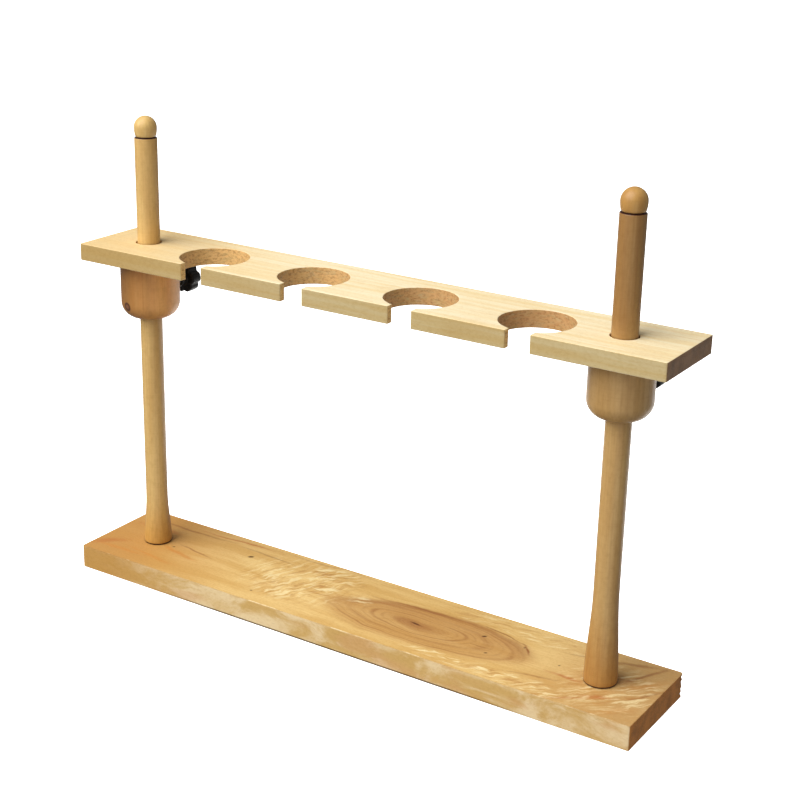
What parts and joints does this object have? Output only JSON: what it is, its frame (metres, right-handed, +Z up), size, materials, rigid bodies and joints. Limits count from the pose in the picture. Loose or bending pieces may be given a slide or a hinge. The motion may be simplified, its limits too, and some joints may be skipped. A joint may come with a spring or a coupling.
{
  "type": "laboratory funnel stand",
  "caption": "Wooden funnel stand: a base board with turned posts and a slotted shelf that slides up and down on them and is held by clamp screws.",
  "frame": {"origin": "on the base board's underside, midway along it and 52.5 mm behind its front face", "axes": "+X along the base board and shelf, -Y towards the side the shelf's slots open to, +Z up along the posts"},
  "size_m": [0.6027, 0.1175, 0.452],
  "materials": {
    "base_wood": "clear varnished board, figured grain with heartwood, satin",
    "post_wood": "turned, clear varnish, satin",
    "shelf_wood": "planed pale board, clear varnish, satin",
    "collar_wood": "turned, clear varnish, satin",
    "dowel_wood": "plain fluted dowel, unfinished",
    "knob_plastic": "black moulded plastic, fine satin",
    "screw_steel": "zinc plated",
    "insert_brass": "machined"
  },
  "bodies": {
    "stand": {"base_board": "base_wood", "left_post": "post_wood", "left_post_screw": "screw_steel", "left_post_washer": "screw_steel", "right_post": "post_wood", "right_post_screw": "screw_steel", "right_post_washer": "screw_steel"},
    "shelf": {"shelf_plate": "shelf_wood", "left_collar": "collar_wood", "left_collar_dowel_outer": "dowel_wood", "left_collar_dowel_inner": "dowel_wood", "left_threaded_insert": "insert_brass", "right_collar": "collar_wood", "right_collar_dowel_outer": "dowel_wood", "right_collar_dowel_inner": "dowel_wood", "right_threaded_insert": "insert_brass"},
    "left_stud": {"left_clamp_stud": "screw_steel"},
    "left_knob": {"left_clamp_knob": "knob_plastic"},
    "right_stud": {"right_clamp_stud": "screw_steel"},
    "right_knob": {"right_clamp_knob": "knob_plastic"}
  },
  "joints": [
    {"name": "shelf_height", "type": "slide", "parent": "stand", "child": "shelf", "axis": [0, 0, 1], "range_m": [-0.16, 0.095]},
    {"name": "left_clamp_travel", "type": "slide", "parent": "shelf", "child": "left_stud", "axis": [0, 1, 0], "range_m": [0, 0.0025]},
    {"name": "left_clamp_turn", "type": "hinge", "parent": "left_stud", "child": "left_knob", "pos_m": [-0.24675, 0.037, 0.2865], "axis": [0, 1, 0], "range_deg": [0, 915]},
    {"name": "right_clamp_travel", "type": "slide", "parent": "shelf", "child": "right_stud", "axis": [0, 1, 0], "range_m": [0, 0.0025]},
    {"name": "right_clamp_turn", "type": "hinge", "parent": "right_stud", "child": "right_knob", "pos_m": [0.24675, 0.037, 0.2865], "axis": [0, 1, 0], "range_deg": [0, 915]}
  ],
  "couplings": [
    {"joint": "left_clamp_turn", "follows": "left_clamp_travel", "rad_per_m": 6283.2},
    {"joint": "right_clamp_turn", "follows": "right_clamp_travel", "rad_per_m": 6283.2}
  ]
}
